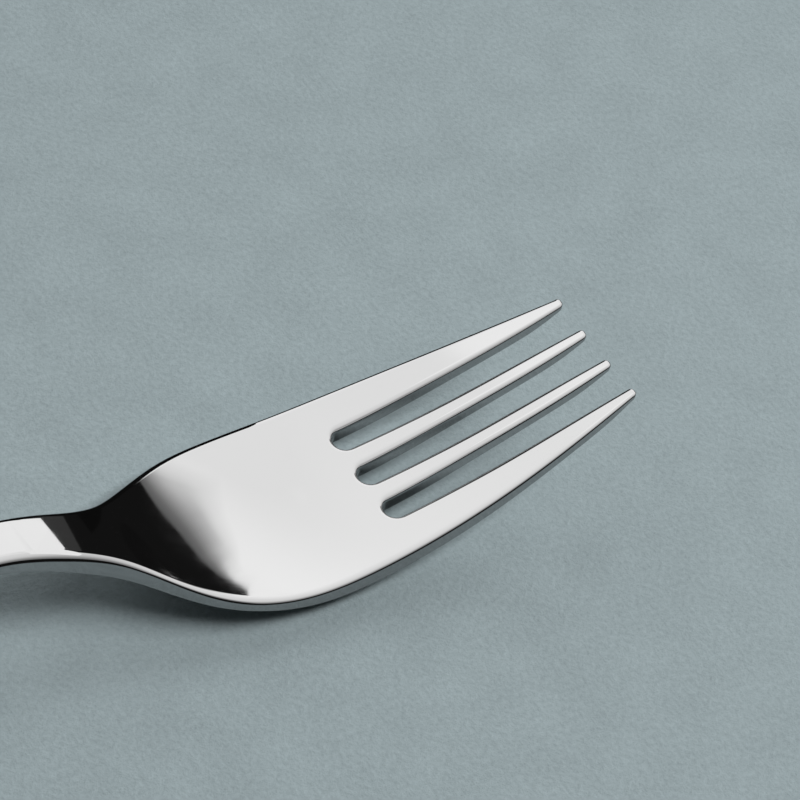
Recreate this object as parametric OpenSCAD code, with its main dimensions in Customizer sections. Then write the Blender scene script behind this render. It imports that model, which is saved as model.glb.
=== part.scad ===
// One-piece dinner fork of polished stainless steel, lying on a table with its tines up.
// +X runs from the handle's end to the tines, +Y is the fork's left side, +Z is up, and the table is at zero.
// The origin is on the table, halfway along the fork and on its centre line.
// Each node is a zone of the one forged piece. Neighbouring zones share their end section, face to face.

/* [Overall] */
// Length from the handle's end to the tips of the tines
overall_l = 205; // [190:1:215]
// Largest width of the head
head_w = 26.85; // [25:0.05:28]
// Width of the neck where it is narrowest
neck_w = 6.35; // [5.5:0.05:7]
// Largest width of the handle
handle_w = 18.8; // [15:0.1:22]
// Height of the top of the arch above the table
arch_rise = 17.15; // [15.5:0.05:18.5]

/* [Steel] */
// Thickness of the bowl at its middle
bowl_t = 2.5; // [2.1:0.05:2.8]
// Depth of the bowl's hollow at its deepest place
bowl_dish = 2.5; // [2:0.05:2.7]
// Radius of the polished edges
edge_r = 0.6; // [0.3:0.05:0.7]
// Length over which the handle's end is rounded
end_l = 9; // [7:0.5:12]

/* [Tines] */
// Length of the slots between the tines
tine_l = 32.8; // [30:0.2:36]
// Distance between neighbouring slots at their roots
root_pitch = 6; // [5.6:0.05:6.2]
// Distance between neighbouring slots at the tips
tip_pitch = 5.45; // [5.3:0.05:5.6]
// Width of a slot near its root
slot_w = 3; // [2.6:0.05:3.1]
// Depth of the rounded root of a slot
root_l = 1.35; // [1.3:0.05:1.9]
// Length over which a tip is rounded
tip_l = 0.7; // [0.5:0.05:0.9]

/* [Hidden] */
// Places along the fork are shares of its length, counted from the handle's end.
neck_start_share = 0.56;
bowl_start_share = 0.7;

// Height of the top face at the edges: [place, share of arch_rise]
rise_shares = [
    [0, 0.151], [0.06, 0.158], [0.13, 0.253], [0.24, 0.468], [0.35, 0.681], [0.47, 0.899], [0.56, 0.996],
    [0.585, 0.981], [0.605, 0.934], [0.625, 0.853], [0.645, 0.747], [0.665, 0.631], [0.685, 0.511],
    [0.71, 0.384], [0.74, 0.309], [0.77, 0.285], [0.81, 0.314], [0.855, 0.407], [0.91, 0.575],
    [0.96, 0.767], [1, 0.94]
];
// How far the outline has spread from the neck's width to the head's: [place, share]
head_spread_shares = [
    [0.54, 0], [0.57, 0], [0.59, 0], [0.61, 0.023], [0.63, 0.052], [0.65, 0.089], [0.67, 0.193],
    [0.69, 0.406], [0.705, 0.584], [0.73, 0.823], [0.765, 0.976], [0.81, 0.99], [0.875, 0.908],
    [0.945, 0.731], [1, 0.544]
];
// How far the outline has spread from the neck's width to the handle's: [place, share]
handle_spread_shares = [
    [0, 0.979], [0.05, 1], [0.1, 0.939], [0.2, 0.627], [0.3, 0.337], [0.42, 0.108], [0.52, 0.01],
    [0.57, 0]
];
// Depth of the hollow: [place, share of bowl_dish]
dish_shares = [
    [0.655, 0], [0.68, 0.112], [0.695, 0.265], [0.71, 0.3], [0.725, 0.415], [0.74, 0.613], [0.755, 0.83],
    [0.77, 0.94], [0.79, 0.778], [0.815, 0.409], [0.85, 0.28], [0.9, 0.2], [1, 0.14]
];
// Thickness at the edges: [place, share of bowl_t]
edge_t_shares = [
    [0, 0.972], [0.15, 0.976], [0.4, 1.006], [0.55, 0.947], [0.6, 1.041], [0.65, 1.234], [0.69, 1.045],
    [0.74, 0.87], [0.78, 1.061], [0.84, 1.148], [0.9, 1.032], [0.96, 0.84], [0.985, 0.7], [1, 0.36]
];
// Thickness at the middle: [place, share of bowl_t]
middle_t_shares = [
    [0, 1.019], [0.06, 1.054], [0.15, 1.149], [0.35, 1.38], [0.55, 1.692], [0.62, 1.789], [0.67, 1.659],
    [0.71, 1.292], [0.74, 1.035], [0.77, 1.025], [0.8, 0.956], [0.84, 1.028], [0.9, 0.97], [0.96, 0.8],
    [0.985, 0.68], [1, 0.36]
];
// Width of a slot: [share of the slot's length from its root, share of slot_w]
slot_spread_shares = [[0, 0.99], [0.21, 1.05], [0.42, 1.13], [0.64, 1.17], [0.85, 1.26], [1, 1.39]];

rise_bends = bends(rise_shares);
head_spread_bends = bends(head_spread_shares);
handle_spread_bends = bends(handle_spread_shares);
dish_bends = bends(dish_shares);
edge_t_bends = bends(edge_t_shares);
middle_t_bends = bends(middle_t_shares);
slot_spread_bends = bends(slot_spread_shares);

// The part of the handle's and the tips' full section that is left where they end bluntly
end_flat_share = 0.14;
tip_flat_share = 0.45;
// The most that an edge's radius takes of the width or thickness there
edge_share = 0.28;

handle_end_x = -overall_l / 2;
tip_x = overall_l / 2;
root_x = tip_x - tine_l;
neck_start_x = place_x(neck_start_share);
bowl_start_x = place_x(bowl_start_share);

corner_steps = 3;
round_steps = 6;
wide_steps = 10;
tine_steps = 4;
handle_stations = 30;
neck_stations = 22;
bowl_stations = 20;
tine_stations = 15;

steel_colour = [0.64, 0.64, 0.64];

// Smooth curves: bends() gives a curve's second derivatives at its points, zero at both ends, and
// smooth_at() reads the curve through the points at a place.
function bends(points) =
    let (rows = forward(points))
    concat(backward(rows, len(rows) - 1, 0), [0]);

function forward(points, i = 1, rows = [[0, 0]]) =
    i == len(points) - 1 ? rows :
    let (
        before = points[i][0] - points[i - 1][0],
        after = points[i + 1][0] - points[i][0],
        turn = (points[i + 1][1] - points[i][1]) / after - (points[i][1] - points[i - 1][1]) / before,
        pivot = 2 * (before + after) - before * rows[i - 1][0]
    )
    forward(points, i + 1, concat(rows, [[after / pivot, (6 * turn - before * rows[i - 1][1]) / pivot]]));

function backward(rows, i, next) =
    i < 0 ? [] :
    let (bend = rows[i][1] - rows[i][0] * next)
    concat(backward(rows, i - 1, bend), [bend]);

function smooth_at(points, bend, place) =
    let (
        held = min(max(place, points[0][0]), points[len(points) - 1][0]),
        i = max([for (k = [0 : len(points) - 2]) if (k == 0 || held >= points[k][0]) k]),
        span = points[i + 1][0] - points[i][0],
        a = (points[i + 1][0] - held) / span,
        b = 1 - a
    )
    a * points[i][1] + b * points[i + 1][1]
        + ((pow(a, 3) - a) * bend[i] + (pow(b, 3) - b) * bend[i + 1]) * span * span / 6;

function place_x(place) = handle_end_x + place * overall_l;
function x_place(x) = (x - handle_end_x) / overall_l;

// A quarter circle that rises from zero to one over a run of one
function round_off(run) = run >= 1 ? 1 : sqrt(1 - pow(1 - max(run, 0), 2));

function rise(x) = arch_rise * smooth_at(rise_shares, rise_bends, x_place(x));
function dish(x) = bowl_dish * smooth_at(dish_shares, dish_bends, x_place(x));
function edge_t(x) = bowl_t * smooth_at(edge_t_shares, edge_t_bends, x_place(x));
function middle_t(x) = bowl_t * smooth_at(middle_t_shares, middle_t_bends, x_place(x));

function full_width(x) =
    neck_w
    + (head_w - neck_w) * smooth_at(head_spread_shares, head_spread_bends, x_place(x))
    + (handle_w - neck_w) * smooth_at(handle_spread_shares, handle_spread_bends, x_place(x));
function half_width(x) = full_width(x) / 2 * max(end_flat_share, round_off((x - handle_end_x) / end_l));

function slot_run(x) = (x - root_x) / tine_l;
function pitch(x) = root_pitch + (tip_pitch - root_pitch) * slot_run(x);
function half_slot(x) =
    slot_w / 2 * smooth_at(slot_spread_shares, slot_spread_bends, slot_run(x)) * round_off((x - root_x) / root_l);

// Top and bottom faces at a point of the outline. The bottom is ground flat where it meets the table.
function across(x, y) = pow(y / half_width(x), 2);
function top_z(x, y) = rise(x) - dish(x) * (1 - across(x, y));
function bottom_z(x, y) =
    let (
        at_middle = rise(x) - dish(x) - middle_t(x),
        at_edge = rise(x) - edge_t(x)
    )
    max(0, at_middle + (at_edge - at_middle) * across(x, y));

// Places across a section between two side walls, each with how much the rounded edge takes off there
function section_places(low_y, high_y, r, steps) = concat(
    [for (i = [0 : corner_steps]) corner_place(low_y, 1, r, i)],
    [for (i = [1 : steps - 1]) [low_y + r + (high_y - low_y - 2 * r) * i / steps, 0]],
    [for (i = [corner_steps : -1 : 0]) corner_place(high_y, -1, r, i)]
);
function corner_place(wall_y, inward, r, i) =
    let (angle = 90 * i / corner_steps)
    [wall_y + inward * r * (1 - cos(angle)), r * (1 - sin(angle))];

// One section as [top points, bottom points]. A keep below 1 draws it in about its middle.
function section(x, low_y, high_y, steps, keep = 1) =
    let (
        middle_y = (low_y + high_y) / 2,
        middle_z = (top_z(x, middle_y) + bottom_z(x, middle_y)) / 2,
        r = min(edge_r, edge_share * (high_y - low_y), edge_share * edge_t(x)),
        places = section_places(low_y, high_y, r, steps)
    )
    [
        [for (p = places) drawn_in([x, p[0], top_z(x, p[0]) - p[1]], middle_y, middle_z, keep)],
        [for (p = places) drawn_in([x, p[0], bottom_z(x, p[0]) + p[1]], middle_y, middle_z, keep)]
    ];
function drawn_in(point, middle_y, middle_z, keep) =
    [point[0], middle_y + keep * (point[1] - middle_y), middle_z + keep * (point[2] - middle_z)];

// A closed skin over a row of sections
module loft(sections) {
    n = len(sections[0][0]);
    last = len(sections) - 1;
    points = [for (s = sections) each concat(s[0], s[1])];
    faces = concat(
        [for (j = [0 : last - 1], i = [0 : n - 2]) [top_at(n, j, i), top_at(n, j, i + 1), top_at(n, j + 1, i + 1),
            top_at(n, j + 1, i)]],
        [for (j = [0 : last - 1], i = [0 : n - 2]) [low_at(n, j, i), low_at(n, j + 1, i), low_at(n, j + 1, i + 1),
            low_at(n, j, i + 1)]],
        [for (j = [0 : last - 1]) [low_at(n, j, 0), top_at(n, j, 0), top_at(n, j + 1, 0), low_at(n, j + 1, 0)]],
        [for (j = [0 : last - 1]) [top_at(n, j, n - 1), low_at(n, j, n - 1), low_at(n, j + 1, n - 1),
            top_at(n, j + 1, n - 1)]],
        [for (i = [0 : n - 2]) [low_at(n, 0, i + 1), top_at(n, 0, i + 1), top_at(n, 0, i), low_at(n, 0, i)]],
        [for (i = [0 : n - 2]) [low_at(n, last, i), top_at(n, last, i), top_at(n, last, i + 1),
            low_at(n, last, i + 1)]]
    );
    polyhedron(points, faces);
}
function top_at(n, j, i) = j * 2 * n + i;
function low_at(n, j, i) = j * 2 * n + n + i;

function wide_section(x) = section(x, -half_width(x), half_width(x), wide_steps);
function even_stations(from_x, to_x, count) = [for (i = [0 : count]) from_x + (to_x - from_x) * i / count];

// Stations that crowd towards a rounded end, where the outline turns fastest
function root_stations() = [for (i = [0 : round_steps]) root_x + root_l * (1 - cos(90 * i / round_steps))];
function tip_stations() = [for (i = [round_steps : -1 : 0]) tip_x - tip_l * (1 - cos(90 * i / round_steps))];
function end_stations() = [for (i = [0 : round_steps]) handle_end_x + end_l * (1 - cos(90 * i / round_steps))];
function all_but_first(list) = [for (i = [1 : len(list) - 1]) list[i]];

// A tine between its right and left walls, as the functions right_wall and left_wall give them
module tine(right_wall, left_wall) {
    stations = concat(
        root_stations(),
        all_but_first(even_stations(root_x + root_l, tip_x - tip_l, tine_stations)),
        all_but_first(tip_stations())
    );
    loft([
        for (x = stations)
        section(x, right_wall(x), left_wall(x), tine_steps,
            tip_flat_share + (1 - tip_flat_share) * round_off((tip_x - x) / tip_l))
    ]);
}

module handle() {
    color(steel_colour)
    loft([
        for (x = concat(end_stations(), all_but_first(even_stations(handle_end_x + end_l, neck_start_x,
            handle_stations))))
        wide_section(x)
    ]);
}

module neck() {
    color(steel_colour)
    loft([for (x = even_stations(neck_start_x, bowl_start_x, neck_stations)) wide_section(x)]);
}

module bowl() {
    color(steel_colour)
    loft([for (x = even_stations(bowl_start_x, root_x, bowl_stations)) wide_section(x)]);
}

module tine_left_outer() {
    color(steel_colour)
    tine(function(x) pitch(x) + half_slot(x), function(x) half_width(x));
}

module tine_left_inner() {
    color(steel_colour)
    tine(function(x) half_slot(x), function(x) pitch(x) - half_slot(x));
}

module tine_right_inner() {
    color(steel_colour)
    tine(function(x) half_slot(x) - pitch(x), function(x) -half_slot(x));
}

module tine_right_outer() {
    color(steel_colour)
    tine(function(x) -half_width(x), function(x) -pitch(x) - half_slot(x));
}

handle();
neck();
bowl();
tine_left_outer();
tine_left_inner();
tine_right_inner();
tine_right_outer();
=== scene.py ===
"""Looks for a one-piece dinner fork of polished stainless steel on a sheet of blue-grey paper.

The fork is built as one edge-rounded skin over its outline, from the same curves as the CAD part, and cut
into the part's zones. Lengths in the tables and sizes are millimetres until a mesh is made.
"""

import math

import bpy
import numpy as np
from mathutils import Matrix, Vector
from mathutils.geometry import delaunay_2d_cdt
from mathutils.kdtree import KDTree


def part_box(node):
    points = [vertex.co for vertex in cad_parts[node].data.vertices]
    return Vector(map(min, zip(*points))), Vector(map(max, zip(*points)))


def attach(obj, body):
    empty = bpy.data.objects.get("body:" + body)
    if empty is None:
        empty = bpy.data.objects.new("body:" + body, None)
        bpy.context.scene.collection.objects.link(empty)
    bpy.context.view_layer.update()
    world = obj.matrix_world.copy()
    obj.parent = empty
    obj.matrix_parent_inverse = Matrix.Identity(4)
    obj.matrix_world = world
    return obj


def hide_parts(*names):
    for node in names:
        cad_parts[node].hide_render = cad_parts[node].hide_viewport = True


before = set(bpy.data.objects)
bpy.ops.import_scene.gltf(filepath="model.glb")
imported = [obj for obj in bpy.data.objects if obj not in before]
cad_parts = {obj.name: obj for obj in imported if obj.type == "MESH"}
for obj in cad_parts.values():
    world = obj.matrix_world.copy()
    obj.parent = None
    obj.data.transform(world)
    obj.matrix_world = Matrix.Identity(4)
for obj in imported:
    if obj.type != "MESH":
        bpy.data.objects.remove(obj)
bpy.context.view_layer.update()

MM = 0.001

# The part's zones, of which the tines lie side by side from the right to the left, and the three slots
# between the tines, numbered from the middle one
TINES = ["tine_right_outer", "tine_right_inner", "tine_left_inner", "tine_left_outer"]
ZONES = ["handle", "neck", "bowl", *TINES]
LAST_TINE = len(TINES) - 1
SLOTS = (-1, 0, 1)

# Places taken from the frame
HANDLE_END_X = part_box("handle")[0].x / MM
TIP_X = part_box("tine_left_outer")[1].x / MM
ROOT_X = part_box("tine_left_outer")[0].x / MM
NECK_START_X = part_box("neck")[0].x / MM
BOWL_START_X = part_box("bowl")[0].x / MM
OVERALL_L = TIP_X - HANDLE_END_X
TINE_L = TIP_X - ROOT_X

# Driving sizes of the fork: widths of the head, neck and handle
HEAD_W = 26.85
NECK_W = 6.35
HANDLE_W = 18.8
# Height of the arch, and the bowl's thickness and hollow
ARCH_RISE = 17.15
BOWL_T = 2.5
BOWL_DISH = 2.5
# Length of the handle's rounded end
END_L = 9
# Spacing of the slots at their roots and at the tips, their width, and how long their rounded roots are
ROOT_PITCH = 6
TIP_PITCH = 5.45
SLOT_W = 3
ROOT_L = 1.35
# Length of a tine's rounded tip
TIP_L = 0.7
TIP_START_X = TIP_X - TIP_L

# Radius of the polished edge round the top as [place along the fork, mm], the most of a tine's width that it
# takes, how much of it is left on the underside, and how square a tip is in plan (2 is an ellipse)
EDGE_R = [
    [0, 0.9], [0.3, 1], [0.5, 1.1], [0.6, 1.1], [0.63, 1.08], [0.66, 0.86], [0.69, 0.85], [0.72, 0.95],
    [0.76, 1], [0.84, 0.85], [0.92, 0.72], [1, 0.4],
]
TINE_EDGE_SHARE = 0.42
UNDER_EDGE_SHARE = 0.4
TIP_SQUARENESS = 2.6

# Curves along the fork as [place, share], with places counted from the handle's end
RISE = [
    [0, 0.151], [0.06, 0.158], [0.13, 0.253], [0.24, 0.468], [0.35, 0.681], [0.47, 0.899], [0.56, 0.9958],
    [0.585, 0.9806], [0.605, 0.9339], [0.625, 0.8526], [0.645, 0.7474], [0.665, 0.6314], [0.685, 0.5109],
    [0.71, 0.3843], [0.74, 0.309], [0.77, 0.2852], [0.81, 0.3136], [0.855, 0.4071], [0.91, 0.5749],
    [0.96, 0.7672], [1, 0.94],
]
HEAD_SPREAD = [
    [0.54, 0], [0.57, 0], [0.59, 0.0003], [0.61, 0.0233], [0.63, 0.0525], [0.65, 0.0887], [0.67, 0.1925],
    [0.69, 0.4061], [0.705, 0.5836], [0.73, 0.8227], [0.765, 0.9761], [0.81, 0.9903], [0.875, 0.9085],
    [0.945, 0.7313], [1, 0.5445],
]
HANDLE_SPREAD = [
    [0, 0.979], [0.05, 1], [0.1, 0.939], [0.2, 0.627], [0.3, 0.337], [0.42, 0.108], [0.52, 0.01], [0.57, 0],
]
DISH = [
    [0.655, 0], [0.68, 0.112], [0.695, 0.265], [0.71, 0.3], [0.725, 0.415], [0.74, 0.613], [0.755, 0.83],
    [0.77, 0.94], [0.79, 0.778], [0.815, 0.409], [0.85, 0.28], [0.9, 0.2], [1, 0.14],
]
EDGE_T = [
    [0, 0.972], [0.15, 0.976], [0.4, 1.006], [0.55, 0.947], [0.6, 1.041], [0.65, 1.234], [0.69, 1.045],
    [0.74, 0.87], [0.78, 1.061], [0.84, 1.148], [0.9, 1.032], [0.96, 0.84], [0.985, 0.7], [1, 0.36],
]
MIDDLE_T = [
    [0, 1.019], [0.06, 1.054], [0.15, 1.149], [0.35, 1.38], [0.55, 1.692], [0.62, 1.789], [0.67, 1.659],
    [0.71, 1.292], [0.74, 1.035], [0.77, 1.025], [0.8, 0.956], [0.84, 1.028], [0.9, 0.97], [0.96, 0.8],
    [0.985, 0.68], [1, 0.36],
]
# Width of a slot as [share of its length from the root, share of SLOT_W]
SLOT_SPREAD = [[0, 0.99], [0.21, 1.05], [0.42, 1.13], [0.64, 1.17], [0.85, 1.26], [1, 1.39]]

# How finely the skin is divided: steps round its curves, gaps along its sides, and gaps over its faces
EDGE_STEPS = 6
TIP_STEPS = 18
ROOT_STEPS = 16
END_STEPS = 30
SIDE_GAP = 0.4
HANDLE_GAP = 0.9
HEAD_GRID = 0.6
HANDLE_GRID = 1.3
# How far apart the heights are that give a slope, and how near each other two points are one
SLOPE_STEP = 0.01
SAME_POINT = 1e-6

# The camera, aimed as the photograph was taken: mm, and degrees for the angles
CAMERA_AIM = (80.88, 8.74, 6.0)
CAMERA_DISTANCE = 444.6
CAMERA_AZIMUTH = -43.09
CAMERA_ELEVATION = 44.99
CAMERA_ROLL = 15.28
CAMERA_LENS = 162.0
CLIP_START = 10

# The steel's reflectance, its faint marks along the fork, the smears over them, and how much their product
# varies the roughness
STEEL = 0.64
MARKS_STRETCH = (60, 900, 900)
MARKS = {"Scale": 1, "Detail": 4, "Roughness": 0.6}
SMEARS = {"Scale": 70, "Detail": 2}
UNEVENNESS = (0.1, 0.45)
STEEL_ROUGHNESS = (0.03, 0.07)
MARKS_BUMP = 0.01
MARKS_DEPTH = 0.1

# The paper's colour, its fine grain and broad mottling, and the tint that they give it at the two ends of the
# noise's range
PAPER = (0.333, 0.4, 0.418)
PAPER_ROUGHNESS = 0.9
PAPER_SPECULAR = 0.15
GRAIN = {"Scale": 1300, "Detail": 4, "Roughness": 0.7}
MOTTLE = {"Scale": 130, "Detail": 3, "Roughness": 0.5}
GRAIN_SHARE = 0.72
TINT_RANGE = (0.3, 0.7)
TINT_SHARE = 0.14
GRAIN_BUMP = 0.9
GRAIN_DEPTH = 0.2
TABLE_HALF = 1500

# Where the steel mirrors the paper: up to a distance behind the fork, and less and less between two distances
# from its middle line. Beyond these, the paper's reflection is painted dark. Even under the fork, painted
# shade makes the paper in the steel darker by the last share
BEHIND = (0.84, 0.54, 0)
PAPER_SEEN_TO = 125
PAPER_FADES = (14, 25)
PAPER_PAINTED_SHADE = 0.35

# The surround, which is dark up to an edge and white above it. Both curves go round the compass, as
# [direction, degrees]: the height of the edge, and how far above it the white is reached
LIGHT_EDGE = [
    [-180, 14], [-125, 14], [-105, 13], [-88, 5], [-78, -10], [-20, -9.6], [0, 1.2], [8, 12], [14, 20],
    [18, 26], [20, 26.5], [22, 26.3], [24, 25], [26, 23.9], [29, 21.9], [32, 19.7], [35, 17.1],
    [38, 15.1], [41, 14.5], [44, 14.6], [47, 12.8], [53, 12.3], [60, 13], [66, 14], [74, 20], [80, 31],
    [95, 42], [130, 38], [155, 18], [180, 14],
]
LIGHT_SPREAD = [
    [-180, 8], [-125, 8], [-105, 20], [-75, 45], [-20, 39.3], [0, 24.7], [8, 11.8], [14, 9], [18, 9.5],
    [20, 10], [22, 10], [24, 9.6], [26, 8.7], [29, 7.6], [32, 6.1], [35, 5.4], [38, 4], [41, 1.3],
    [44, 0.35], [47, 0.3], [53, 0.5], [70, 0.5], [80, 2], [95, 5], [150, 15], [180, 8],
]
# Brightness as [share of that reach above the edge, share of white]
LIGHT_LEVEL = [
    [-0.05, 0.007], [0, 0.115], [0.2, 0.165], [0.4, 0.27], [0.6, 0.42], [0.8, 0.61], [1, 0.76], [1.3, 0.86],
    [1.6, 0.9], [2, 0.94], [3, 1],
]
# White is brightest low down in one direction, and less bright the farther away from it. The focus says how
# fast it gets there
BRIGHT_TO = (0.5, 0.86, 0.09)
BRIGHT_FOCUS = 1.8
WHITE = 1.117
BRIGHTEST = 1.271
# It is also a little brighter on one side of the compass, as [direction, share]
SIDE_GAIN = [[-180, 1.08], [-150, 1], [91.5, 1], [96, 1.13], [150, 1.1], [180, 1.08]]

# The light on the paper: two soft bars, each between two [compass direction, height] and with its width and
# share of the light, and a fill from low behind the fork. The steel mirrors the surround and not these
LAMP_DISTANCE = 2000
LAMPS = {
    "key_bar": ((-69, 62), (-15, 44), 500, 0.69),
    "side_bar": ((16, 27), (26, 31), 560, 0.12),
}
FILL_FROM = (-0.17, 0.95, 0.26)
FILL_FOCUS = 4
FILL = 1.3

# Cards that only the steel mirrors, each between four corners in mm, with its strength and the share of the
# light behind it that it lets through
CARDS = {
    "bright_card": (((51.5, 14.1, 21.7), (44.3, 23, 21.7), (44.3, 23, 31), (51.5, 14.1, 31)), 1.22, 0),
    "dim_card": (((52.4, 12.2, 18.9), (44.3, 23, 14.6), (44.3, 23, 21.7), (52.4, 12.2, 21.7)), 0.04, 1),
    "dark_card": (((66, 22, 0.2), (45, 27, 0.2), (45, 27, 17.5), (66, 22, 17.5)), 0.005, 0),
    "rim_card": (((37, -8, 17.7), (37, 8, 17.7), (37, 8, 30), (37, -8, 30)), 1.2, 0),
}


class Smooth:
    """A natural cubic curve through (place, value) points, level beyond its ends."""

    def __init__(self, points):
        self.x, self.y = np.array(points, float).T
        span = np.diff(self.x)
        turn = np.diff(np.diff(self.y) / span)
        size = len(self.x)
        matrix = np.eye(size)
        wanted = np.zeros(size)
        for i in range(1, size - 1):
            matrix[i, i - 1 : i + 2] = span[i - 1], 2 * (span[i - 1] + span[i]), span[i]
            wanted[i] = 6 * turn[i - 1]
        self.bend = np.linalg.solve(matrix, wanted)

    def __call__(self, place):
        held = np.clip(place, self.x[0], self.x[-1])
        i = np.clip(np.searchsorted(self.x, held, side="right") - 1, 0, len(self.x) - 2)
        span = self.x[i + 1] - self.x[i]
        a = (self.x[i + 1] - held) / span
        b = 1 - a
        curve = (a**3 - a) * self.bend[i] + (b**3 - b) * self.bend[i + 1]
        return a * self.y[i] + b * self.y[i + 1] + curve * span**2 / 6


rise_curve = Smooth(RISE)
head_curve = Smooth(HEAD_SPREAD)
handle_curve = Smooth(HANDLE_SPREAD)
dish_curve = Smooth(DISH)
edge_t_curve = Smooth(EDGE_T)
middle_t_curve = Smooth(MIDDLE_T)
slot_curve = Smooth(SLOT_SPREAD)
edge_r_curve = Smooth(EDGE_R)


def place(x):
    return (x - HANDLE_END_X) / OVERALL_L


def round_off(run):
    """A quarter circle that rises from zero to one over a run of one."""
    return np.sqrt(1 - (1 - np.clip(run, 0, 1)) ** 2)


def half_width(x):
    spread = (HEAD_W - NECK_W) * head_curve(place(x)) + (HANDLE_W - NECK_W) * handle_curve(place(x))
    return (NECK_W + spread) / 2


def slot_run(x):
    return (x - ROOT_X) / TINE_L


def pitch(x):
    return ROOT_PITCH + (TIP_PITCH - ROOT_PITCH) * slot_run(x)


def full_slot(x):
    return SLOT_W / 2 * slot_curve(slot_run(x))


def half_slot(x):
    return full_slot(x) * round_off((x - ROOT_X) / ROOT_L)


def edge_radius(x, width=np.inf):
    """Radius of the top's edge, which a slender tine makes smaller."""
    return np.minimum(edge_r_curve(place(x)), TINE_EDGE_SHARE * width)


def heights(x, y):
    """Heights of the top and bottom faces at points in plan."""
    across = (y / half_width(x)) ** 2
    rise = ARCH_RISE * rise_curve(place(x))
    dish = BOWL_DISH * dish_curve(place(x))
    top = rise - dish * (1 - across)
    at_middle = rise - dish - BOWL_T * middle_t_curve(place(x))
    at_edge = rise - BOWL_T * edge_t_curve(place(x))
    return top, np.maximum(0, at_middle + (at_edge - at_middle) * across)


def face_normals(x, y, face):
    """Upward unit normals of the top face (0) or bottom face (1)."""
    ahead = heights(x + SLOPE_STEP, y)[face] - heights(x - SLOPE_STEP, y)[face]
    aside = heights(x, y + SLOPE_STEP)[face] - heights(x, y - SLOPE_STEP)[face]
    normals = np.stack([-ahead, -aside, np.full_like(x, 2 * SLOPE_STEP)], axis=-1)
    return normals / np.linalg.norm(normals, axis=1)[:, None]


def run(from_x, to_x, gap):
    """Even places from from_x up to, and without, to_x."""
    return np.linspace(from_x, to_x, max(2, round(abs(to_x - from_x) / gap)), endpoint=False)


def arc(from_turn, to_turn, steps):
    return np.linspace(from_turn, to_turn, steps, endpoint=False)


class Edge:
    """The fork's edge in plan, as points with the radius of the rounding and the zone at each."""

    def __init__(self):
        self.points, self.radii, self.zones = [], [], []

    def add(self, zone, xs, ys, radii):
        self.points.extend(zip(xs, ys))
        self.radii.extend(np.broadcast_to(radii, len(xs)))
        self.zones.extend([zone] * len(xs))

    def add_end(self, hand, turn):
        xs = HANDLE_END_X + END_L * (1 - np.cos(turn))
        self.add("handle", xs, hand * half_width(xs) * np.sin(turn), edge_radius(xs))

    def add_side(self, hand):
        """The right side (-1) from the handle to the tines, or the left side (1) back."""
        stretches = [
            ("handle", HANDLE_END_X + END_L, NECK_START_X, HANDLE_GAP),
            ("neck", NECK_START_X, BOWL_START_X, SIDE_GAP),
            ("bowl", BOWL_START_X, TINES_FROM_X, SIDE_GAP),
        ]
        for zone, low, high, gap in stretches[::-hand]:
            xs = run(low, high, gap) if hand < 0 else run(high, low, gap)
            self.add(zone, xs, hand * half_width(xs), edge_radius(xs))

    def add_wall(self, i, side, from_x, to_x):
        """The right wall (0) or left wall (1) of tine i."""
        xs = run(from_x, to_x, SIDE_GAP)
        self.add(TINES[i], xs, tine_walls(i, xs)[side], edge_radius(xs, tine_width(i, xs)))

    def add_tip(self, i):
        turn = arc(0, math.pi, TIP_STEPS)
        power = 2 / TIP_SQUARENESS
        xs = TIP_START_X + TIP_L * np.sin(turn) ** power
        across = np.sign(np.cos(turn)) * np.abs(np.cos(turn)) ** power
        width = tine_width(i, TIP_START_X)
        middle = tine_walls(i, TIP_START_X)[0] + width / 2
        self.add(TINES[i], xs, middle - width / 2 * across, edge_radius(TIP_START_X, width))

    def add_root(self, zone, slot, turn):
        xs = ROOT_X + ROOT_L * (1 - np.cos(turn))
        ys = slot * pitch(xs) + full_slot(xs) * np.sin(turn)
        self.add(zone, xs, ys, edge_radius(xs, ROOT_WIDTH))

    def add_slot(self, i):
        """The slot between tine i and the next: down one wall, round the root and up the other."""
        self.add_wall(i, 1, TIP_START_X, ROOT_X + ROOT_L)
        self.add_root(TINES[i], SLOTS[i], arc(-QUARTER, 0, ROOT_STEPS))
        self.add_root(TINES[i + 1], SLOTS[i], arc(0, QUARTER, ROOT_STEPS))
        self.add_wall(i + 1, 0, ROOT_X + ROOT_L, TIP_START_X)


def outline():
    """The fork's edge in plan, anticlockwise from the handle's end."""
    edge = Edge()
    edge.add_end(-1, arc(0, QUARTER, END_STEPS))
    edge.add_side(-1)
    edge.add_wall(0, 0, TINES_FROM_X, TIP_START_X)
    for i in range(LAST_TINE):
        edge.add_tip(i)
        edge.add_slot(i)
    edge.add_tip(LAST_TINE)
    edge.add_wall(LAST_TINE, 1, TIP_START_X, TINES_FROM_X)
    edge.add_side(1)
    edge.add_end(1, arc(QUARTER, 0, END_STEPS))
    return np.array(edge.points), np.array(edge.radii), edge.zones


def tine_walls(i, x):
    """Right and left walls of tine i, each of which is the fork's side or a slot's."""
    right = -half_width(x) if i == 0 else SLOTS[i - 1] * pitch(x) + half_slot(x)
    left = half_width(x) if i == LAST_TINE else SLOTS[i] * pitch(x) - half_slot(x)
    return right, left


def tine_width(i, x):
    right, left = tine_walls(i, np.maximum(x, ROOT_X + ROOT_L))
    return left - right


QUARTER = math.pi / 2
ROOT_WIDTH = tine_width(1, ROOT_X + ROOT_L)
TINES_FROM_X = ROOT_X - edge_radius(ROOT_X, ROOT_WIDTH)


def outward(points):
    """Outward unit normals of an anticlockwise loop."""
    ahead = np.roll(points, -1, axis=0) - points
    behind = points - np.roll(points, 1, axis=0)
    far = np.linalg.norm(ahead, axis=1)[:, None]
    near = np.linalg.norm(behind, axis=1)[:, None]
    along = ahead / far * near + behind / near * far
    normals = np.column_stack([along[:, 1], -along[:, 0]])
    return normals / np.linalg.norm(normals, axis=1)[:, None]


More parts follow.
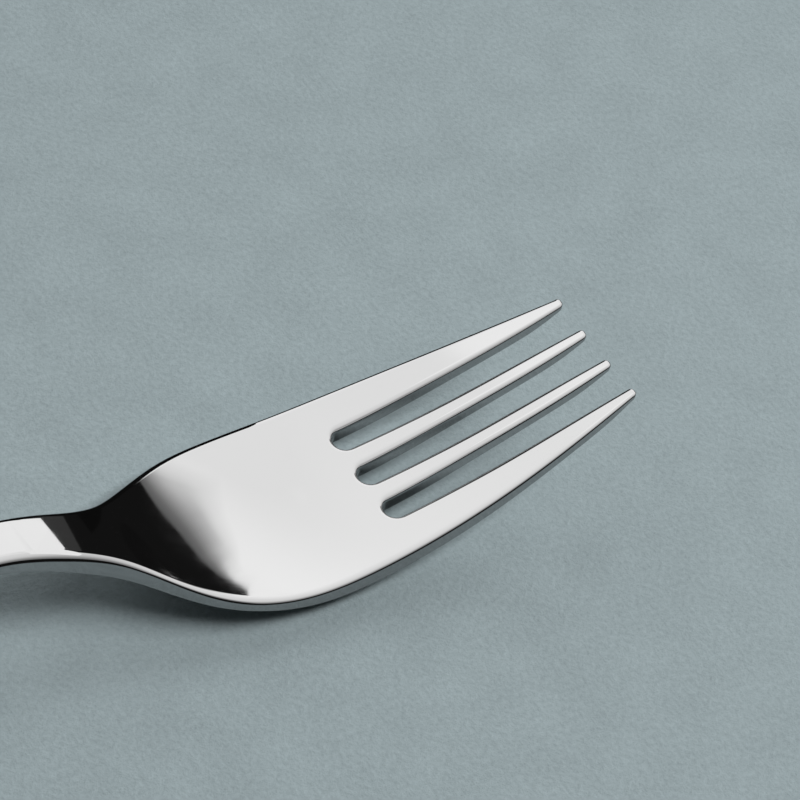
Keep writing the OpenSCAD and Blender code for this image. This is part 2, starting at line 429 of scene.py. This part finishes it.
def clear_of(grid, loop, gap):
    """The points of a grid that keep a gap from a loop."""
    tree = KDTree(len(loop))
    for i, point in enumerate(loop):
        tree.insert((*point, 0), i)
    tree.balance()
    return [p for p in grid if tree.find((*p, 0))[2] > gap]


def grid_points(low_x, high_x, gap):
    """Staggered points over a stretch of the fork, inside its edges."""
    points = []
    row_gap = gap * math.sqrt(0.75)
    for row, x in enumerate(np.arange(low_x, high_x, row_gap)):
        half = half_width(x)
        ys = np.arange(-math.floor(half / gap) - row % 2 / 2, half / gap) * gap
        points.extend((x, y) for y in ys if abs(y) < half and on_metal(x, y))
    return points


def on_metal(x, y):
    return x < ROOT_X or all(abs(y - slot * pitch(x)) > half_slot(x) for slot in SLOTS)


def cut_lines(loop, cuts):
    """Points on the cuts across the fork, numbered on from the loop's, and the edges along the cuts."""
    points, edges = [], []
    for first, last in cuts:
        start, end = loop[first], loop[last]
        steps = max(2, round(np.linalg.norm(end - start) / HEAD_GRID))
        added = len(loop) + len(points)
        ids = [first, *range(added, added + steps - 1), last]
        points += [start + (end - start) * i / steps for i in range(1, steps)]
        edges += zip(ids[:-1], ids[1:])
    return points, edges


def flat_mesh(loop, zones):
    """The face inside the edge's rounding, divided in plan: points, triangles and the triangles' zones."""
    neck_right, bowl_right, *roots, bowl_left, neck_left = zone_changes(zones)
    cuts = [(neck_right, neck_left), (bowl_right, bowl_left), *zip(roots[:-1], roots[1:])]
    cut_points, cut_edges = cut_lines(loop, cuts)
    edges = [(i, (i + 1) % len(loop)) for i in range(len(loop))] + cut_edges
    points = [*loop, *cut_points]
    taken = np.array(points)
    points += clear_of(grid_points(HANDLE_END_X, NECK_START_X, HANDLE_GRID), taken, HANDLE_GRID / 2)
    points += clear_of(grid_points(NECK_START_X, TIP_X, HEAD_GRID), taken, HEAD_GRID / 2)
    inside = [list(range(len(loop)))]
    made, _, triangles, *_ = delaunay_2d_cdt([Vector(p) for p in points], edges, inside, 1, SAME_POINT)
    made = np.array(made)
    middles = made[np.array(triangles)].mean(axis=1)
    ends = loop[neck_right, 0], loop[bowl_right, 0]
    return made, triangles, [zone_at(x, y, *ends, loop[roots]) for x, y in middles]


def zone_at(x, y, neck_x, bowl_x, roots):
    """The zone at a point in plan, from where the neck and the bowl start and the line through the roots."""
    if x > np.interp(y, roots[:, 1], roots[:, 0]):
        return TINES[sum(y > slot * pitch(x) for slot in SLOTS)]
    return "bowl" if x > bowl_x else "neck" if x > neck_x else "handle"


def zone_changes(zones):
    """The loop's points where one zone ends and another starts."""
    return [i for i in range(len(zones)) if zones[i] != zones[i - 1]]


def rounding_rows(loop, normals, radii):
    """Rows round the edge, from the top face's border down to the underside's: points and normals."""
    turns = np.linspace(math.pi / 2, 0, EDGE_STEPS + 1)
    level = np.column_stack([normals, np.zeros(len(loop))])
    rows = []
    for face, up, share, order in ((0, 1, 1, turns), (1, -1, UNDER_EDGE_SHARE, turns[::-1])):
        for turn in order:
            x, y = (loop - normals * (radii * (1 - np.cos(turn)))[:, None]).T
            z = heights(x, y)[face] - up * share * radii * (1 - np.sin(turn))
            normal = math.cos(turn) * level + math.sin(turn) * up * face_normals(x, y, face)
            rows.append((np.column_stack([x, y, z]), normal))
    return rows


def skin():
    """The whole fork's skin: points, normals, and for each zone its smooth faces and its cuts' faces."""
    loop, radii, zones = outline()
    rows = rounding_rows(loop, outward(loop), radii)
    flat, triangles, triangle_zones = flat_mesh(rows[0][0][:, :2], zones)
    points, normals, rings = skin_points(flat, rows)
    smooth = {zone: [] for zone in ZONES}
    cut = {zone: [] for zone in ZONES}
    add_flat_faces(smooth, cut, triangles, triangle_zones, len(flat))
    add_rounding(smooth, cut, rings, zones)
    return points, normals, smooth, cut


def skin_points(flat, rows):
    """The skin's points and normals, and for each row round the edge the numbers of its points."""
    x, y = flat.T
    top, bottom = heights(x, y)
    between = rows[1:-1]
    points = [np.column_stack([x, y, top]), np.column_stack([x, y, bottom]), *(row[0] for row in between)]
    normals = [face_normals(x, y, 0), -face_normals(x, y, 1), *(row[1] for row in between)]
    count = len(rows[0][0])
    starts = [0, *(2 * len(flat) + i * count for i in range(len(between))), len(flat)]
    return np.concatenate(points), np.concatenate(normals), [range(first, first + count) for first in starts]


def add_flat_faces(smooth, cut, triangles, triangle_zones, below):
    """Adds the top and bottom faces, and an upright face at each edge between two zones."""
    owner = {}
    for (a, b, c), zone in zip(triangles, triangle_zones):
        smooth[zone] += [(a, b, c), (below + a, below + c, below + b)]
        owner.update({(a, b): zone, (b, c): zone, (c, a): zone})
    for (a, b), zone in owner.items():
        if owner.get((b, a), zone) != zone:
            cut[zone].append((b, a, below + a, below + b))


def add_rounding(smooth, cut, rings, zones):
    """Adds the faces round the edge, and the ends of the cuts there."""
    for upper, lower in zip(rings[:-1], rings[1:]):
        for i, zone in enumerate(zones):
            j = (i + 1) % len(zones)
            smooth[zone].append((upper[i], lower[i], lower[j], upper[j]))
    for i in zone_changes(zones):
        profile = [ring[i] for ring in rings]
        cut[zones[i - 1]].append(profile)
        cut[zones[i]].append(profile[::-1])


def zone_piece(zone, points, normals, smooth, cut):
    """One zone as a closed piece whose shading runs on into its neighbours."""
    used = sorted({p for face in smooth + cut for p in face})
    local = {p: i for i, p in enumerate(used)}
    mesh = bpy.data.meshes.new("polished_" + zone)
    mesh.from_pydata(points[used] * MM, [], [[local[p] for p in face] for face in smooth + cut])
    mesh.polygons.foreach_set("use_smooth", [True] * len(mesh.polygons))
    corners = [normals[p] for face in smooth for p in face]
    for polygon in mesh.polygons[len(smooth):]:
        corners += [polygon.normal] * len(polygon.vertices)
    mesh.normals_split_custom_set(corners)
    piece = bpy.data.objects.new("polished_" + zone, mesh)
    bpy.context.scene.collection.objects.link(piece)
    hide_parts(zone)
    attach(piece, "root")
    return piece


def fork():
    """The fork's zones in polished steel."""
    points, normals, smooth, cut = skin()
    steel = polished_steel()
    for zone in ZONES:
        zone_piece(zone, points, normals, smooth[zone], cut[zone]).data.materials.append(steel)


def feed(tree, socket, value):
    """Sets an input's value, or links another node's output to it."""
    if isinstance(value, bpy.types.NodeSocket):
        tree.links.new(value, socket)
    else:
        socket.default_value = value


def add_node(tree, kind, **values):
    """A shader node with its settings and inputs, whose names have underscores for spaces."""
    node = tree.nodes.new(kind)
    for name, value in values.items():
        socket = node.inputs.get(name.replace("_", " "))
        if socket:
            feed(tree, socket, value)
        else:
            setattr(node, name, value)
    return node


def math_node(tree, operation, *values):
    """The result of a maths node on values and other nodes' outputs."""
    node = add_node(tree, "ShaderNodeMath", operation=operation)
    for socket, value in zip(node.inputs, values):
        feed(tree, socket, value)
    return node.outputs[0]


def map_range(tree, value, low, high, to_low=0, to_high=1):
    """A value's place between low and high, as a number from to_low to to_high."""
    limits = {"From_Min": low, "From_Max": high, "To_Min": to_low, "To_Max": to_high}
    return add_node(tree, "ShaderNodeMapRange", Value=value, **limits).outputs["Result"]


def dot_product(tree, vector, direction):
    node = add_node(tree, "ShaderNodeVectorMath", operation="DOT_PRODUCT")
    feed(tree, node.inputs[0], vector)
    feed(tree, node.inputs[1], direction)
    return node.outputs["Value"]


def noise(tree, where, values):
    return add_node(tree, "ShaderNodeTexNoise", Vector=where, **values).outputs["Fac"]


def bump(tree, height, strength, depth):
    values = {"Height": height, "Strength": strength, "Distance": depth * MM}
    return add_node(tree, "ShaderNodeBump", **values).outputs["Normal"]


def mix(tree, share, first, second):
    """A shader that turns from the first into the second as the share goes from zero to one."""
    node = add_node(tree, "ShaderNodeMixShader", Fac=share)
    feed(tree, node.inputs[1], first)
    feed(tree, node.inputs[2], second)
    return node.outputs[0]


def set_ramp(ramp, stops):
    """Sets a colour ramp to (position, colour) stops."""
    elements = ramp.color_ramp.elements
    while len(elements) > 1:
        elements.remove(elements[-1])
    for i, (position, colour) in enumerate(stops):
        stop = elements[0] if i == 0 else elements.new(position)
        stop.position = position
        stop.color = (*colour, 1)


def follow_curve(tree, source, points):
    """The value that a curve of [value in, value out] gives for another node's output."""
    low, high = points[0][0], points[-1][0]
    bottom = min(value for _, value in points)
    span = max(value for _, value in points) - bottom
    curve = add_node(tree, "ShaderNodeFloatCurve", Value=map_range(tree, source, low, high))
    line = curve.mapping.curves[0]
    while len(line.points) < len(points):
        line.points.new(0, 0)
    for point, (at, value) in zip(line.points, points):
        point.location = ((at - low) / (high - low), (value - bottom) / span)
        point.handle_type = "AUTO_CLAMPED"
    curve.mapping.update()
    return math_node(tree, "MULTIPLY_ADD", curve.outputs[0], span, bottom)


def new_material(name):
    """A material with its node tree and its surface shader."""
    material = bpy.data.materials.new(name)
    material.use_nodes = True
    return material, material.node_tree, material.node_tree.nodes["Principled BSDF"]


def polished_steel():
    """Mirror-polished stainless steel, with faint polishing marks along the fork."""
    material, tree, shader = new_material("polished_steel")
    feed(tree, shader.inputs["Base Color"], (STEEL, STEEL, STEEL, 1))
    feed(tree, shader.inputs["Metallic"], 1)
    where = add_node(tree, "ShaderNodeTexCoord").outputs["Object"]
    stretched = add_node(tree, "ShaderNodeMapping", Vector=where, Scale=MARKS_STRETCH).outputs["Vector"]
    marks = noise(tree, stretched, MARKS)
    smears = noise(tree, where, SMEARS)
    roughness = map_range(tree, math_node(tree, "MULTIPLY", marks, smears), *UNEVENNESS, *STEEL_ROUGHNESS)
    feed(tree, shader.inputs["Roughness"], roughness)
    feed(tree, shader.inputs["Normal"], bump(tree, marks, MARKS_BUMP, MARKS_DEPTH))
    return material


def paper():
    """Blue-grey paper with a fine grain and faint broad mottling, whose reflection in the steel is darkened
    by painted shade.
    """
    material, tree, shader = new_material("blue_grey_paper")
    feed(tree, shader.inputs["Roughness"], PAPER_ROUGHNESS)
    feed(tree, shader.inputs["Specular IOR Level"], PAPER_SPECULAR)
    where = add_node(tree, "ShaderNodeTexCoord").outputs["Object"]
    grain = noise(tree, where, GRAIN)
    mottle = noise(tree, where, MOTTLE)
    broad = math_node(tree, "MULTIPLY", mottle, 1 - GRAIN_SHARE)
    uneven = math_node(tree, "MULTIPLY_ADD", grain, GRAIN_SHARE, broad)
    tint = add_node(tree, "ShaderNodeValToRGB", Fac=uneven)
    tones = [[c * tone for c in PAPER] for tone in (1 - TINT_SHARE, 1 + TINT_SHARE)]
    set_ramp(tint, zip(TINT_RANGE, tones))
    feed(tree, shader.inputs["Base Color"], tint.outputs["Color"])
    feed(tree, shader.inputs["Normal"], bump(tree, grain, GRAIN_BUMP, GRAIN_DEPTH))
    # Painted shade: a near-black glow that glossy rays see in place of part of the paper
    dark = add_node(tree, "ShaderNodeEmission", Strength=LIGHT_LEVEL[0][1]).outputs[0]
    seen = mix(tree, painted_shade_in_steel(tree, where), shader.outputs[0], dark)
    feed(tree, tree.nodes["Material Output"].inputs["Surface"], seen)
    return material


def painted_shade_in_steel(tree, where):
    """How far the paper's mirror image gives way to painted shade, a dark glow in place of the dark room
    beyond and of shade near the fork, which is zero outside the steel.
    """
    beyond = math_node(tree, "GREATER_THAN", dot_product(tree, where, BEHIND), PAPER_SEEN_TO * MM)
    across = add_node(tree, "ShaderNodeSeparateXYZ", Vector=where).outputs["Y"]
    start, end = (distance * MM for distance in PAPER_FADES)
    aside = map_range(tree, math_node(tree, "ABSOLUTE", across), start, end)
    gone = math_node(tree, "MAXIMUM", beyond, aside)
    in_steel = add_node(tree, "ShaderNodeLightPath").outputs["Is Glossy Ray"]
    return math_node(tree, "MULTIPLY", in_steel, math_node(tree, "MAXIMUM", gone, PAPER_PAINTED_SHADE))


def table():
    """The paper that the fork lies on."""
    mesh = bpy.data.meshes.new("table")
    half = TABLE_HALF * MM
    corners = [(x * half, y * half, 0) for x, y in ((-1, -1), (1, -1), (1, 1), (-1, 1))]
    mesh.from_pydata(corners, [], [(0, 1, 2, 3)])
    sheet = bpy.data.objects.new("table", mesh)
    sheet.data.materials.append(paper())
    bpy.context.scene.collection.objects.link(sheet)


def surround():
    """The studio's surround, which is one thing to the camera, one to the steel and one to the paper."""
    world = bpy.data.worlds.new("studio")
    bpy.context.scene.world = world
    world.use_nodes = True
    tree = world.node_tree
    tree.nodes.clear()
    white = (1, 1, 1, 1)
    where = add_node(tree, "ShaderNodeTexCoord").outputs["Generated"]
    backdrop = add_node(tree, "ShaderNodeBackground", Color=(*PAPER, 1), Strength=1)
    mirrored = add_node(tree, "ShaderNodeBackground", Color=white, Strength=mirrored_light(tree, where))
    fill = add_node(tree, "ShaderNodeBackground", Color=white, Strength=fill_light(tree, where))
    ray = add_node(tree, "ShaderNodeLightPath").outputs
    lit = mix(tree, ray["Is Glossy Ray"], fill.outputs[0], mirrored.outputs[0])
    seen = mix(tree, ray["Is Camera Ray"], lit, backdrop.outputs[0])
    add_node(tree, "ShaderNodeOutputWorld", Surface=seen)


def mirrored_light(tree, where):
    """What the steel mirrors: white over a dark low band, whose upper edge varies round the compass."""
    parts = add_node(tree, "ShaderNodeSeparateXYZ", Vector=where).outputs
    compass = math_node(tree, "DEGREES", math_node(tree, "ARCTAN2", parts["Y"], parts["X"]))
    height = math_node(tree, "DEGREES", math_node(tree, "ARCSINE", parts["Z"]))
    above = math_node(tree, "SUBTRACT", height, follow_curve(tree, compass, LIGHT_EDGE))
    reach = math_node(tree, "DIVIDE", above, follow_curve(tree, compass, LIGHT_SPREAD))
    ahead = dot_product(tree, where, BRIGHT_TO)
    near = math_node(tree, "MULTIPLY_ADD", ahead, BRIGHT_FOCUS, 1 - BRIGHT_FOCUS)
    near = math_node(tree, "MAXIMUM", near, 0)
    gain = math_node(tree, "MULTIPLY_ADD", near, BRIGHTEST - WHITE, WHITE)
    gain = math_node(tree, "MULTIPLY", gain, follow_curve(tree, compass, SIDE_GAIN))
    return math_node(tree, "MULTIPLY", follow_curve(tree, reach, LIGHT_LEVEL), gain)


def fill_light(tree, where):
    """The low fill on the paper, which fades away from the direction that it comes from."""
    ahead = math_node(tree, "MAXIMUM", dot_product(tree, where, FILL_FROM), 0)
    return math_node(tree, "MULTIPLY", math_node(tree, "POWER", ahead, FILL_FOCUS), FILL)


def toward(azimuth, elevation):
    """The unit vector at a compass direction and height in degrees."""
    azimuth, elevation = math.radians(azimuth), math.radians(elevation)
    level = math.cos(elevation)
    return Vector((math.cos(azimuth) * level, math.sin(azimuth) * level, math.sin(elevation)))


def lamp(name, start, end, width, share):
    """A soft bar of light, of a power that gives it its share of the light that makes a colour true."""
    first, last = toward(*start), toward(*end)
    away = (first + last).normalized()
    along = (last - first).normalized()
    data = bpy.data.lights.new(name, "AREA")
    data.shape = "RECTANGLE"
    data.size = ((last - first).length * LAMP_DISTANCE + width) * MM
    data.size_y = width * MM
    data.energy = share * (math.pi * LAMP_DISTANCE * MM) ** 2 / away.z
    bar = bpy.data.objects.new(name, data)
    bpy.context.scene.collection.objects.link(bar)
    turn = Matrix((along, away.cross(along), away)).transposed().to_4x4()
    bar.matrix_world = Matrix.Translation(away * LAMP_DISTANCE * MM) @ turn
    bar.visible_glossy = False


def card(name, corners, strength, passes):
    """An upright glowing card, seen only in the steel, through which a share of the light passes."""
    mesh = bpy.data.meshes.new(name)
    mesh.from_pydata([Vector(corner) * MM for corner in corners], [], [(0, 1, 2, 3)])
    sheet = bpy.data.objects.new(name, mesh)
    bpy.context.scene.collection.objects.link(sheet)
    sheet.visible_camera = sheet.visible_diffuse = sheet.visible_shadow = False
    material, tree, _ = new_material(name)
    glow = add_node(tree, "ShaderNodeEmission", Strength=strength)
    clear = add_node(tree, "ShaderNodeBsdfTransparent", Color=(passes, passes, passes, 1))
    both = add_node(tree, "ShaderNodeAddShader")
    feed(tree, both.inputs[0], glow.outputs[0])
    feed(tree, both.inputs[1], clear.outputs[0])
    feed(tree, tree.nodes["Material Output"].inputs["Surface"], both.outputs[0])
    mesh.materials.append(material)


def camera():
    """The camera, as the photograph was taken: a long lens from over the handle, rolled to the right."""
    right = toward(CAMERA_AZIMUTH, 0)
    back = toward(CAMERA_AZIMUTH - 90, CAMERA_ELEVATION)
    up = back.cross(right)
    roll = math.radians(CAMERA_ROLL)
    rolled_right = math.cos(roll) * right + math.sin(roll) * up
    rolled_up = math.cos(roll) * up - math.sin(roll) * right
    data = bpy.data.cameras.new("camera")
    data.lens = CAMERA_LENS
    data.clip_start = CLIP_START * MM
    viewer = bpy.data.objects.new("camera", data)
    turn = Matrix((rolled_right, rolled_up, back)).transposed().to_4x4()
    viewer.matrix_world = Matrix.Translation((Vector(CAMERA_AIM) + CAMERA_DISTANCE * back) * MM) @ turn
    bpy.context.scene.collection.objects.link(viewer)
    bpy.context.scene.camera = viewer


fork()
table()
surround()
for name, values in LAMPS.items():
    lamp(name, *values)
for name, values in CARDS.items():
    card(name, *values)
camera()
bpy.context.scene.view_settings.view_transform = "Standard"
